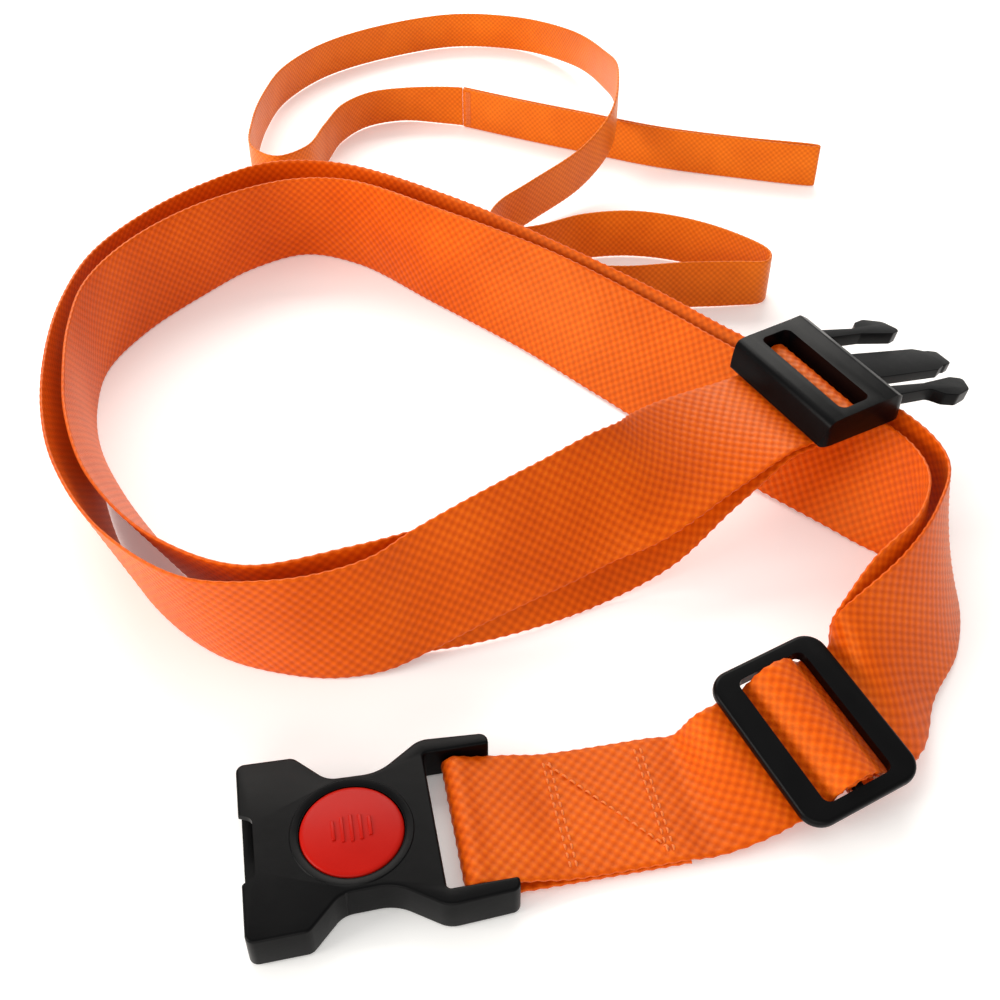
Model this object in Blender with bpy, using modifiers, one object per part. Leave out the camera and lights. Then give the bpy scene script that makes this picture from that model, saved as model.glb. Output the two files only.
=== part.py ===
"""Restraint strap of a spine board: a 50 mm webbing strap with a push-button buckle, an adjuster and a tether.

Metres, +Z up. The origin is on the floor under the push button, in the middle of the buckle socket.
+X runs from the socket's mouth towards the strap, and +Y runs away from the socket over the coiled strap.
Routes are lists of millimetres and degrees, and every other size is in metres.
"""

import math

import bmesh
import bpy
import numpy as np
from mathutils import Matrix, Vector

MM = 0.001
OBJECT_NAME = "spine_board_strap"

# Webbing
WEBBING_WIDTH = 0.050
WEBBING_THICKNESS = 0.0016
TETHER_WIDTH = 0.025
TETHER_THICKNESS = 0.0014
SECTION_SPACING = 0.0098
PIECE_GAP = 0.0003
THREAD_RADIUS = 0.00035
LAYER_SPACING_AT_GLIDE = 0.0027

# Buckle socket, lying on the floor with its mouth towards -X
SOCKET_HEIGHT = 0.0140
SOCKET_WALL = 0.0022
SOCKET_MOUTH_X = -0.0360
SOCKET_TAIL_X = 0.0500
SOCKET_HALF_WIDTH = 0.0335
SOCKET_SLOT_X = 0.0270
SOCKET_SLOT_HALF_WIDTH = 0.0263
SOCKET_BAR = Vector((0.0375, 0.0, 0.0068))
SOCKET_BAR_RADIUS = 0.0030
BUTTON_RADIUS = 0.0170
BUTTON_CLEARANCE = 0.0004
BUTTON_THICKNESS = 0.0032
BUTTON_DOME = 0.0012
GRIP_RIB_SPACING = 0.0030
GRIP_RIBS = 5

# Male half, placed by its frame's middle
MALE_POSE = ((0.2103, 0.1538, 0.0508), 17.9, 0.4, 1.3)
MALE_WIDTH = 0.062
MALE_BACK = -0.0205
MALE_FRONT = 0.0228
MALE_WINDOW = (-0.0080, 0.0064, 0.0265)
MALE_BAR_OFFSET = 0.0012
MALE_BAR_RADIUS = 0.0021
TONGUE_ROOT = Vector((0.0200, 0.0, -0.0010))
TONGUE_DROOP = 15.0
TONGUE_LENGTH = 0.0580
PRONG_ROOT = Vector((0.0234, 0.0218, 0.0002))
PRONG_HEIGHT = 0.0056

# Three-bar adjuster, placed by its middle
GLIDE_POSE = ((0.1605, 0.0095, 0.0165), 17.0, 4.0, 9.0)
GLIDE_LENGTH = 0.047
GLIDE_WIDTH = 0.064
GLIDE_THICKNESS = 0.0046
GLIDE_BAR_RADIUS = 0.0023
GLIDE_WINDOW_END = 0.0140
GLIDE_WINDOW_HALF_WIDTH = 0.0262

# Webbing standing on edge: the lower edge's x, y and height, and the lean from upright (+ to the left).
OUTER_ROUTE = (
    (212, 19, 2.5, 52), (235, 45, 0, 34), (248, 73, 0, 20), (250, 101, 0, 6), (231, 121, 0, -18),
    (205, 151, 0, -37), (175, 189, 0, -38), (147, 233, 0, -38), (116, 279, 0, -28), (80, 331, 0, -17),
    (35, 381, 0, -5), (2, 392, 0, 0), (-34, 377, 0, 2), (-65, 352, 0, 3), (-87, 319, 0, 1),
    (-96.5, 283, 0, -1.5), (-96.5, 246, 0, -7.5), (-88.5, 204.5, 0, -17), (-80.5, 168, 0, -18),
    (-65, 128, 0, -15), (-41, 97, 0, -10), (-16, 82.5, 0, 0), (3, 77, 0, 8), (21, 76, 1.5, 14),
    (37.5, 79.2, 5, 19), (57.5, 83.8, 10, 22), (78, 89, 13.5, 26), (97.8, 94.5, 16, 31),
    (114, 98.5, 19.5, 38), (130, 99.7, 24, 50), (146.3, 104.5, 29, 62), (164.1, 112.6, 33.5, 73),
)
INNER_ROUTE = (
    (226, 49, 0, 34), (237, 72, 0, 17), (233, 93, 0, -2), (218, 112, 0, -26),
    (196, 142, 0, -37), (168, 181, 0, -40), (141, 225, 0, -39), (112, 271, 0, -27), (76, 320, 0, -12),
    (42, 365, 0, 1), (15, 380, 0, 9), (-14, 371, 0, 6), (-43, 348, 0, -2), (-70, 321, 0, -3),
    (-88, 292, 0, -1), (-92.5, 261, 0, -2), (-90, 232, 0, -6), (-80, 200, 0, -16), (-65, 167, 0, -24),
    (-43, 128, 0, -22), (-19, 101, 0, -12), (12, 87.5, 0, 9), (44, 83.5, 0, 25), (78, 87, 0, 34),
    (112, 96, 0, 45), (141, 104.5, 6.5, 56), (167.5, 115.5, 22, 70),
)
TETHER_ROUTE = (
    (120, 519, 0, 3), (89, 530, 0, 14), (66, 526, 0, 12), (48, 509, 0, 6), (36, 483, 0, 2),
    (24, 457, 0, 0), (6, 448, 0, 0), (-7, 463, 0, 0), (-5, 497, 0, 0), (3, 536, 0, -4),
    (17, 571, 0, -6), (48, 606, 0, -8), (96, 629, 0, -8), (142, 637, 0, -10), (185, 622, 0, -10),
    (212, 580, 5, -8), (218, 524, 14, -4), (209.5, 463, 27, 0), (196, 426, 20, 0), (176, 409, 9, 0),
    (141, 386, 3, 0), (121, 373, 0, 0), (113, 357, 0, 0), (119, 345, 0, 0), (136, 344, 0, 0),
    (162, 347, 0, 10), (187, 345, 0, 12), (211, 335, 0, 8), (233, 317, 0, 4), (247, 297, 0, 0),
    (243, 288, 0, 0), (227, 288, 0, -5), (201, 291, 0, -8), (167, 294, 0, -8), (133, 302, 2, -14),
    (106, 322, 9, -22), (87, 346, 11, -16),
)
HAND_LOOP_ROUTE = (
    (126, 516, 0, 0), (155, 494, 0, 0), (190, 469, 0, 0), (230, 441, 0, 0), (273, 419, 0, 0),
    (314, 401, 0, 0),
)

# Webbing in the buckles, as (along, up) in each buckle's own frame
UNDER_PLY = ((108, 1.75), (84, 1.75), (66, 1.75), (57.5, 1.8))
BAR_LOOP_RADIUS = SOCKET_BAR_RADIUS + PIECE_GAP + WEBBING_THICKNESS / 2 + 0.0002
TOP_PLY = ((57.5, 6.5), (66, 4.4), (76, 3.7), (92, 3.6), (108, 3.6), (116, 2.9))
GLIDE_THROUGH = (
    (-30, -4.9), (-23, -4.6), (-17, -4.6), (-13.5, -4.2), (-9.8, -1.4), (-6.5, 2.9), (-2.5, 5.4),
    (0, 5.8), (3, 5.5), (7.4, 3.2), (10.0, -1.2), (14.2, -4.3), (19, -4.7), (27, -4.9),
)
GLIDE_FIXED_END = (
    (27, -7.3), (19, -7.2), (14.5, -6.9), (10.0, -4.1), (6.8, -0.2), (4.2, 2.7), (1.5, 3.5), (-1.5, 3.2),
    (-3.3, 1.4), (-3.5, -0.9), (-2.2, -3.2), (1.0, -5.4), (5.0, -7.6), (11, -9.0), (17, -9.4), (25, -9.6),
)
MALE_WRAP = (
    (-28, -6.2), (-22, -6.1), (-13, -6.2), (-8.6, -6.2), (-5.5, -4.2), (-4.5, -1.2), (-4.2, 1.1), (-3.0, 2.8),
    (-1.3, 3.2), (1.3, 3.2), (3.0, 2.8), (4.3, 1.1), (4.5, -0.9), (3.9, -3.8), (1.8, -6.8), (-2.4, -8.5),
    (-10, -9.0), (-22, -9.2), (-28, -9.8),
)


# ---------------------------------------------------------------- helpers

def clear_scene():
    for obj in list(bpy.data.objects):
        bpy.data.objects.remove(obj, do_unlink=True)


def new_collection(name, cutters=False):
    collection = bpy.data.collections.new(name)
    bpy.context.scene.collection.children.link(collection)
    collection.hide_render = cutters
    return collection


def new_material(name, colour, roughness, metallic=0.0):
    material = bpy.data.materials.new(name)
    material.use_nodes = True
    shader = material.node_tree.nodes["Principled BSDF"]
    shader.inputs["Base Color"].default_value = (*colour, 1.0)
    shader.inputs["Roughness"].default_value = roughness
    shader.inputs["Metallic"].default_value = metallic
    return material


def pose_matrix(pose):
    """A frame from its place, its heading, its nose-up pitch and its left-side-up roll in degrees."""
    place, heading, pitch, roll = pose
    turn = (
        Matrix.Rotation(math.radians(heading), 4, "Z")
        @ Matrix.Rotation(math.radians(-pitch), 4, "Y")
        @ Matrix.Rotation(math.radians(roll), 4, "X")
    )
    return Matrix.Translation(place) @ turn


def filleted(corners, segments=5):
    """The points of a closed outline whose corners (x, y, radius) are rounded with arcs."""
    points = []
    count = len(corners)
    for index, (x, y, radius) in enumerate(corners):
        here = Vector((x, y))
        before = (Vector(corners[index - 1][:2]) - here).normalized()
        after = (Vector(corners[(index + 1) % count][:2]) - here).normalized()
        half_angle = before.angle(after) / 2
        if radius <= 0 or abs(half_angle - math.pi / 2) < 1e-4:
            points.append(here)
            continue
        reach = radius / math.tan(half_angle)
        centre = here + (before + after).normalized() * (radius / math.sin(half_angle))
        start = here + before * reach - centre
        end = here + after * reach - centre
        sweep = start.angle_signed(end)
        for step in range(segments + 1):
            points.append(centre + Matrix.Rotation(-sweep * step / segments, 2) @ start)
    return points


def mirrored(half):
    """A whole outline from its half at +Y, whose corners run along X."""
    return list(half) + [(x, -y, radius) for x, y, radius in reversed(half)]


def mesh_from_curve(curve_object, collection):
    """The curve's evaluated shape as a mesh object with its caps welded; the curve is removed."""
    bpy.context.view_layer.update()
    evaluated = curve_object.evaluated_get(bpy.context.evaluated_depsgraph_get())
    mesh = bpy.data.meshes.new_from_object(evaluated)
    work = bmesh.new()
    work.from_mesh(mesh)
    bmesh.ops.remove_doubles(work, verts=work.verts, dist=1e-6)
    bmesh.ops.recalc_face_normals(work, faces=work.faces)
    work.to_mesh(mesh)
    work.free()
    name = curve_object.name
    matrix = curve_object.matrix_world.copy()
    bpy.data.objects.remove(curve_object, do_unlink=True)
    obj = bpy.data.objects.new(name, mesh)
    obj.matrix_world = matrix
    collection.objects.link(obj)
    return obj


def plate(name, corners, low, high, collection, segments=5):
    """A flat outline in XY, extruded from one height to another."""
    data = bpy.data.curves.new(name, "CURVE")
    data.dimensions = "2D"
    data.fill_mode = "BOTH"
    data.extrude = (high - low) / 2
    points = filleted(corners, segments)
    spline = data.splines.new("POLY")
    spline.points.add(len(points) - 1)
    for target, point in zip(spline.points, points):
        target.co = (point.x, point.y, 0.0, 1.0)
    spline.use_cyclic_u = True
    curve_object = bpy.data.objects.new(name + "_outline", data)
    curve_object.location.z = (low + high) / 2
    collection.objects.link(curve_object)
    obj = mesh_from_curve(curve_object, collection)
    obj.name = name
    return obj


def rod(name, start, end, radius, collection, sides=16):
    """A round bar between two points."""
    mesh = bpy.data.meshes.new(name)
    work = bmesh.new()
    bmesh.ops.create_cone(
        work, cap_ends=True, segments=sides, radius1=radius, radius2=radius, depth=(end - start).length
    )
    work.to_mesh(mesh)
    work.free()
    obj = bpy.data.objects.new(name, mesh)
    obj.location = (start + end) / 2
    obj.rotation_mode = "QUATERNION"
    obj.rotation_quaternion = (end - start).to_track_quat("Z", "Y")
    collection.objects.link(obj)
    return obj


def box(name, low, high, collection):
    mesh = bpy.data.meshes.new(name)
    work = bmesh.new()
    size = [b - a for a, b in zip(low, high)]
    middle = Vector([(a + b) / 2 for a, b in zip(low, high)])
    matrix = Matrix.Translation(middle) @ Matrix.Diagonal((*size, 1.0))
    bmesh.ops.create_cube(work, size=1.0, matrix=matrix)
    work.to_mesh(mesh)
    work.free()
    obj = bpy.data.objects.new(name, mesh)
    collection.objects.link(obj)
    return obj


def helper(obj):
    obj.hide_render = True
    obj.display_type = "WIRE"
    return obj


def boolean(obj, other, operation):
    modifier = obj.modifiers.new(operation.lower() + "_" + other.name, "BOOLEAN")
    modifier.operation = operation
    modifier.object = helper(other)
    modifier.solver = "EXACT"


def soften(obj, width, segments=2, angle=40.0):
    modifier = obj.modifiers.new("edges", "BEVEL")
    modifier.width = width
    modifier.segments = segments
    modifier.limit_method = "ANGLE"
    modifier.angle_limit = math.radians(angle)
    modifier.use_clamp_overlap = True


def finish(obj, material, matrix=None):
    obj.data.materials.clear()
    obj.data.materials.append(material)
    if matrix is not None:
        obj.matrix_world = matrix @ obj.matrix_world
    obj.data.shade_smooth()
    obj.data.set_sharp_from_angle(angle=math.radians(35))


def place_helpers(objects, matrix):
    bpy.context.view_layer.update()
    for obj in objects:
        obj.matrix_world = matrix @ obj.matrix_world


# ---------------------------------------------------------------- webbing

def route_stations(route, width):
    """(middle, across) pairs of a ribbon on edge. Across points from the lower edge to the upper one."""
    feet = [Vector((x * MM, y * MM, z * MM)) for x, y, z, _ in route]
    stations = []
    for index, (foot, row) in enumerate(zip(feet, route)):
        ahead = feet[min(index + 1, len(feet) - 1)] - feet[max(index - 1, 0)]
        left = Vector((-ahead.y, ahead.x, 0.0)).normalized()
        lean = math.radians(row[3])
        across = left * math.sin(lean) + Vector((0.0, 0.0, math.cos(lean)))
        rest = Vector((0.0, 0.0, WEBBING_THICKNESS / 2 * abs(math.sin(lean))))
        stations.append((foot + rest + across * (width / 2), across))
    return stations


def layer_beneath(stations, distance):
    """The first of these stations, moved off the ribbon's inner face."""
    middle, across = stations[0]
    outward = (stations[1][0] - middle).cross(across).normalized()
    return middle - outward * distance, across


def profile_stations(profile, matrix):
    """(middle, across) pairs of a ribbon whose side view is a profile of (along, up) millimetres."""
    across = (matrix.to_3x3() @ Vector((0.0, 1.0, 0.0))).normalized()
    return [(matrix @ Vector((along * MM, 0.0, up * MM)), across) for along, up in profile]


def bar_loop_profile():
    """The turn round the socket's bar, from below it to above it on the mouth side."""
    middle_x, middle_z = SOCKET_BAR.x / MM, SOCKET_BAR.z / MM
    radius = BAR_LOOP_RADIUS / MM
    turn = []
    for degrees in range(270, 44, -25):
        angle = math.radians(degrees)
        turn.append((middle_x + radius * math.cos(angle), middle_z + radius * math.sin(angle)))
    return turn


def dense_path(stations, spacing=SECTION_SPACING):
    """A smooth centripetal curve through the stations, and the index of each station on it."""
    values = np.array([(*middle, *across) for middle, across in stations])
    values = np.vstack([2 * values[0] - values[1], values, 2 * values[-1] - values[-2]])
    steps = np.linalg.norm(np.diff(values[:, :3], axis=0), axis=1)
    knots = np.concatenate([[0.0], np.cumsum(np.sqrt(steps))])
    path, marks = [], []
    for i in range(1, len(values) - 2):
        marks.append(len(path))
        count = max(1, math.ceil(steps[i] / spacing))
        for t in np.linspace(knots[i], knots[i + 1], count, endpoint=False):
            rows, span = values[i - 1:i + 3], knots[i - 1:i + 3]
            while len(rows) > 1:
                reach = len(span) - len(rows) + 1
                weights = [(t - span[k]) / (span[k + reach] - span[k]) for k in range(len(rows) - 1)]
                rows = [(1 - w) * a + w * b for w, a, b in zip(weights, rows[:-1], rows[1:])]
                if len(rows) == 2:
                    weight = (t - knots[i]) / (knots[i + 1] - knots[i])
                    rows = [(1 - weight) * rows[0] + weight * rows[1]]
            path.append(rows[0])
    marks.append(len(path))
    path.append(values[-2])
    return [(Vector(row[:3]), Vector(row[3:]).normalized()) for row in path], marks


def trimmed(path):
    """The path with half a gap taken off each end."""
    path = list(path)
    for end, inner in ((0, 1), (-1, -2)):
        step = (path[inner][0] - path[end][0]).normalized() * (PIECE_GAP / 2)
        path[end] = (path[end][0] + step, path[end][1])
    return path


def ribbon(name, path, width, thickness, material, collection):
    """A loft of flat sections along the path."""
    work = bmesh.new()
    rings = []
    for index, (middle, across) in enumerate(path):
        ahead = path[min(index + 1, len(path) - 1)][0] - path[max(index - 1, 0)][0]
        face = ahead.cross(across).normalized() * (thickness / 2)
        side = across * (width / 2)
        corners = (middle - side - face, middle + side - face, middle + side + face, middle - side + face)
        rings.append([work.verts.new(corner) for corner in corners])
    for first, second in zip(rings[:-1], rings[1:]):
        for k in range(4):
            work.faces.new((first[k], first[(k + 1) % 4], second[(k + 1) % 4], second[k]))
    work.faces.new(rings[0])
    work.faces.new(rings[-1])
    bmesh.ops.triangulate(work, faces=work.faces)
    bmesh.ops.recalc_face_normals(work, faces=work.faces)
    mesh = bpy.data.meshes.new(name)
    work.to_mesh(mesh)
    work.free()
    obj = bpy.data.objects.new(name, mesh)
    collection.objects.link(obj)
    finish(obj, material)
    return obj


def thread(name, points, material, collection, radius=THREAD_RADIUS):
    """A sewing thread along a polyline."""
    data = bpy.data.curves.new(name, "CURVE")
    data.dimensions = "3D"
    data.bevel_depth = radius
    data.bevel_resolution = 1
    data.use_fill_caps = True
    spline = data.splines.new("POLY")
    spline.points.add(len(points) - 1)
    for target, point in zip(spline.points, points):
        target.co = (*point, 1.0)
    curve_object = bpy.data.objects.new(name + "_line", data)
    collection.objects.link(curve_object)
    obj = mesh_from_curve(curve_object, collection)
    obj.name = name
    finish(obj, material)
    return obj


# ---------------------------------------------------------------- buckle socket

def socket_housing(parts, cutters, material):
    half = (
        (SOCKET_MOUTH_X, SOCKET_HALF_WIDTH, 0.003), (-0.0165, SOCKET_HALF_WIDTH - 0.0005, 0.004),
        (-0.0060, 0.0220, 0.008), (0.0110, 0.0215, 0.016), (0.0265, SOCKET_HALF_WIDTH - 0.0010, 0.009),
        (SOCKET_TAIL_X, SOCKET_HALF_WIDTH - 0.0025, 0.003),
        (SOCKET_TAIL_X, SOCKET_SLOT_HALF_WIDTH, 0.001),
        (SOCKET_SLOT_X, SOCKET_SLOT_HALF_WIDTH, 0.0015),
    )
    body = plate("socket_housing", mirrored(half), 0.0, SOCKET_HEIGHT, parts)
    soften(body, 0.0016)
    cavity = plate(
        "socket_cavity",
        mirrored((
            (SOCKET_MOUTH_X - 0.004, 0.0298, 0.0), (-0.0175, 0.0295, 0.003), (-0.0075, 0.0185, 0.005),
            (0.0100, 0.0185, 0.006), (0.0160, 0.0240, 0.003), (0.0225, 0.0250, 0.002),
        )),
        SOCKET_WALL, SOCKET_HEIGHT - SOCKET_WALL, cutters,
    )
    top = Vector((0.0, 0.0, SOCKET_HEIGHT + 0.002))
    hole = rod(
        "button_hole", Vector((0.0, 0.0, SOCKET_HEIGHT / 2)), top, BUTTON_RADIUS + BUTTON_CLEARANCE, cutters, 40
    )
    reach = Vector((0.0, SOCKET_SLOT_HALF_WIDTH + 0.002, 0.0))
    bar = rod("socket_bar", SOCKET_BAR - reach, SOCKET_BAR + reach, SOCKET_BAR_RADIUS, cutters, 16)
    boolean(body, cavity, "DIFFERENCE")
    boolean(body, hole, "DIFFERENCE")
    boolean(body, bar, "UNION")
    finish(body, material)
    return body


def release_button(parts, cutters, material):
    """A domed cap with two wedge legs below it and grip ribs on top, on its slide axis."""
    top = SOCKET_HEIGHT + 0.0004
    profile = [
        (0.0, top + BUTTON_DOME), (BUTTON_RADIUS * 0.5, top + BUTTON_DOME * 0.75),
        (BUTTON_RADIUS * 0.85, top + BUTTON_DOME * 0.28), (BUTTON_RADIUS - 0.0006, top),
        (BUTTON_RADIUS, top - 0.0006), (BUTTON_RADIUS, top - BUTTON_THICKNESS), (0.0, top - BUTTON_THICKNESS),
    ]
    mesh = bpy.data.meshes.new("release_button")
    mesh.from_pydata([(x, 0.0, z) for x, z in profile], [(i, i + 1) for i in range(len(profile) - 1)], [])
    button = bpy.data.objects.new("release_button", mesh)
    parts.objects.link(button)
    screw = button.modifiers.new("turn", "SCREW")
    screw.steps = 40
    screw.render_steps = 40
    screw.use_merge_vertices = True
    screw.merge_threshold = 0.0001
    screw.use_normal_calculate = True
    under = top - BUTTON_THICKNESS
    for side in (-1, 1):
        leg = box(
            f"button_leg_{side + 2}",
            (-0.004, side * 0.0125 - 0.0015, under - 0.0042), (0.004, side * 0.0125 + 0.0015, under + 0.0010), cutters,
        )
        boolean(button, leg, "UNION")
    for index in range(GRIP_RIBS):
        x = (index - (GRIP_RIBS - 1) / 2) * GRIP_RIB_SPACING
        rib = box(
            f"grip_rib_{index + 1}",
            (x - 0.0006, -0.0050, top - 0.0005), (x + 0.0006, 0.0050, top + BUTTON_DOME + 0.0004), cutters,
        )
        boolean(button, rib, "UNION")
    finish(button, material)
    return button


# ---------------------------------------------------------------- male half

def male_frame(parts, cutters, matrix, material):
    """The block round the webbing window, with a sloping rear bar, a ridge in front and a stepped tongue."""
    half_width = MALE_WIDTH / 2
    side_view = (
        (MALE_BACK, -0.0042, 0.0012), (MALE_FRONT - 0.0015, -0.0042, 0.0015), (MALE_FRONT, 0.0020, 0.0020),
        (0.0205, 0.0070, 0.0030), (0.0165, 0.0096, 0.0025), (0.0115, 0.0092, 0.0030), (-0.0105, 0.0084, 0.0030),
        (-0.0165, 0.0078, 0.0040),
    )
    frame = plate("male_frame", side_view, -half_width, half_width, parts, 3)
    frame.matrix_world = Matrix.Rotation(math.radians(90), 4, "X") @ frame.matrix_world
    bpy.context.view_layer.update()
    frame.data.transform(frame.matrix_world)
    frame.matrix_world = Matrix.Identity(4)
    plan = plate("male_plan", mirrored((
        (MALE_BACK - 0.001, half_width - 0.0001, 0.0060), (MALE_FRONT + 0.001, half_width - 0.0001, 0.0070),
    )), -0.02, 0.02, cutters, 4)
    back, front, side = MALE_WINDOW
    window = plate(
        "male_window", ((back, side, 0.0030), (front, side, 0.0030), (front, -side, 0.0030), (back, -side, 0.0030)),
        -0.02, 0.02, cutters, 3,
    )
    bars = []
    for offset in (-MALE_BAR_OFFSET, MALE_BAR_OFFSET):
        ends = [Vector((offset, y * (side + 0.002), 0.0)) for y in (-1, 1)]
        bars.append(rod(f"male_bar_{offset > 0:d}", *ends, MALE_BAR_RADIUS, cutters, 12))
    tongue = plate("tongue", mirrored((
        (-0.003, 0.0095, 0.0003), (TONGUE_LENGTH - 0.0120, 0.0085, 0.0020),
        (TONGUE_LENGTH - 0.0065, 0.0060, 0.0010), (TONGUE_LENGTH - 0.0045, 0.0060, 0.0010),
        (TONGUE_LENGTH, 0.0045, 0.0015),
    )), -0.0022, 0.0022, cutters, 3)
    soften(tongue, 0.0007)
    droop = Matrix.Translation(TONGUE_ROOT) @ Matrix.Rotation(math.radians(TONGUE_DROOP), 4, "Y")
    boolean(frame, plan, "INTERSECT")
    boolean(frame, window, "DIFFERENCE")
    for piece in bars + [tongue]:
        boolean(frame, piece, "UNION")
    place_helpers([tongue], droop)
    place_helpers([plan, window, tongue] + bars, matrix)
    finish(frame, material, matrix)
    return frame


def prong(name, side, parts, matrix, material):
    """One flexing arm with its hooked head. Its origin is on its flexing axis at the root."""
    corners = (
        (0.0, -0.0030, 0.0), (0.0, 0.0035, 0.0), (0.0200, 0.0025, 0.004), (0.0245, 0.0070, 0.003),
        (0.0310, 0.0088, 0.004), (0.0410, 0.0058, 0.004), (0.0450, -0.0020, 0.002), (0.0385, -0.0042, 0.003),
        (0.0200, -0.0022, 0.006),
    )
    corners = [(x, side * y, radius) for x, y, radius in corners]
    if side > 0:
        corners.reverse()
    arm = plate(name, corners, -PRONG_HEIGHT / 2, PRONG_HEIGHT / 2, parts, 4)
    soften(arm, 0.0009)
    root = Matrix.Translation(Vector((PRONG_ROOT.x, side * PRONG_ROOT.y, PRONG_ROOT.z)))
    droop = Matrix.Rotation(math.radians(TONGUE_DROOP), 4, "Y")
    finish(arm, material, matrix @ root @ droop)
    return arm


# ---------------------------------------------------------------- adjuster

def tri_glide(parts, cutters, matrix, material):
    half_length, half_width, half_height = GLIDE_LENGTH / 2, GLIDE_WIDTH / 2, GLIDE_THICKNESS / 2
    outline = mirrored(((-half_length, half_width, 0.008), (half_length, half_width, 0.008)))
    frame = plate("tri_glide", outline, -half_height, half_height, parts, 6)
    end, side = GLIDE_WINDOW_END, GLIDE_WINDOW_HALF_WIDTH
    window = plate(
        "glide_window", ((-end, side, 0.003), (end, side, 0.003), (end, -side, 0.003), (-end, -side, 0.003)),
        -0.02, 0.02, cutters, 3,
    )
    reach = Vector((0.0, side + 0.002, 0.0))
    bar = rod("glide_bar", -reach, reach, GLIDE_BAR_RADIUS - 0.0002, cutters, 12)
    soften(frame, 0.0014)
    boolean(frame, window, "DIFFERENCE")
    boolean(frame, bar, "UNION")
    place_helpers((window, bar), matrix)
    finish(frame, material, matrix)
    return frame


# ---------------------------------------------------------------- strap and stitching

def strap_nodes(parts, material, glide, male):
    """The whole 50 mm webbing is one path, cut into the nodes that bend apart from each other."""
    flat = Matrix.Identity(4)
    outer = route_stations(OUTER_ROUTE, WEBBING_WIDTH)
    inner = route_stations(INNER_ROUTE, WEBBING_WIDTH)[::-1] + [layer_beneath(outer, LAYER_SPACING_AT_GLIDE)]
    sections = [
        ("webbing_under_ply", profile_stations(UNDER_PLY, flat)),
        ("webbing_socket_loop", profile_stations(bar_loop_profile(), flat)),
        ("webbing_single_run", profile_stations(TOP_PLY, flat) + profile_stations(GLIDE_THROUGH, glide)),
        ("webbing_outer_layer", outer),
        ("webbing_buckle_wrap", profile_stations(MALE_WRAP, male)),
        ("webbing_inner_layer", inner),
        ("webbing_glide_end", profile_stations(GLIDE_FIXED_END, glide)),
    ]
    path, marks = dense_path([station for _, stations in sections for station in stations])
    last = {}
    total = 0
    for name, stations in sections:
        total += len(stations)
        last[name] = total - 1
    ends = [
        0, last["webbing_under_ply"], last["webbing_socket_loop"] + 1, last["webbing_single_run"],
        last["webbing_outer_layer"] + 1, last["webbing_buckle_wrap"], last["webbing_inner_layer"] + 1,
        last["webbing_glide_end"],
    ]
    for (name, _), start, end in zip(sections, ends[:-1], ends[1:]):
        piece = trimmed(path[marks[start]:marks[end] + 1])
        ribbon(name, piece[::-1], WEBBING_WIDTH, WEBBING_THICKNESS, material, parts)


def socket_stitches(parts, material):
    """Two cross rows joined by diagonals, on top of the sewn plies and again underneath."""
    near, far, reach = 0.0680, 0.1030, 0.0215
    corners = ((near, -reach), (near, reach), (far, -reach), (far, reach), (near + 0.0010, -reach))
    top, under = 0.0036 + WEBBING_THICKNESS / 2 + 0.0006, 0.00045
    lift = 0.0007
    top_points = [Vector((x, y, top + (lift if x < 0.08 else 0.0))) for x, y in corners[:4]]
    under_points = [Vector((x, y, under)) for x, y in corners[:4]]
    thread("socket_stitch_top", top_points, material, parts)
    thread("socket_stitch_under", under_points, material, parts)


def zigzag(start, end, reach, turns, offset):
    """Points of a zigzag tack that runs from start to end and swings by reach on each side."""
    points = []
    for index in range(turns + 1):
        side = 1 if index % 2 else -1
        points.append(start.lerp(end, index / turns) + reach * side + offset)
    return points


def glide_stitch(parts, material, glide):
    """The fixed end is sewn across under the adjuster."""
    start = glide @ Vector((0.0170, -0.0200, -0.0108))
    end = glide @ Vector((0.0170, 0.0200, -0.0108))
    reach = glide.to_3x3() @ Vector((0.0020, 0.0, 0.0))
    thread("glide_end_stitch", zigzag(start, end, reach, 16, Vector()), material, parts)


def tether_nodes(parts, webbing, stitching):
    path, _ = dense_path(route_stations(TETHER_ROUTE, TETHER_WIDTH))
    ribbon("tether_webbing", trimmed(path), TETHER_WIDTH, TETHER_THICKNESS, webbing, parts)
    spine = route_stations(HAND_LOOP_ROUTE, TETHER_WIDTH)
    shift = TETHER_THICKNESS / 2 + 0.0003
    near_side, far_side = [], []
    for index, (middle, across) in enumerate(spine):
        ahead = spine[min(index + 1, len(spine) - 1)][0] - spine[max(index - 1, 0)][0]
        face = ahead.cross(across).normalized() * shift
        far_side.append((middle - face, across))
        near_side.append((middle + face, across))
    ahead = (spine[-1][0] - spine[-2][0]).normalized()
    fold = (spine[-1][0] + ahead * 0.0016, spine[-1][1])
    loop, _ = dense_path(far_side + [fold] + near_side[::-1])
    ribbon("tether_hand_loop", trimmed(loop), TETHER_WIDTH, TETHER_THICKNESS, webbing, parts)
    tack_on_ribbon("tether_loop_tack", spine[0], spine[1], 0.004, 0.0024, stitching, parts)
    tail = route_stations(TETHER_ROUTE, TETHER_WIDTH)
    tack_on_ribbon("tether_joint_tack", tail[-1], tail[-2], 0.004, -0.0014, stitching, parts)


def tack_on_ribbon(name, station, towards, inset, offset, material, collection):
    """A zigzag bar tack across a ribbon, a little inside its end and just off its face."""
    middle, across = station
    ahead = (towards[0] - middle).normalized()
    face = ahead.cross(across).normalized() * offset
    centre = middle + ahead * inset + face
    start, end = centre - across * 0.010, centre + across * 0.010
    thread(name, zigzag(start, end, ahead * 0.0025, 14, Vector()), material, collection, 0.0003)


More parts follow.
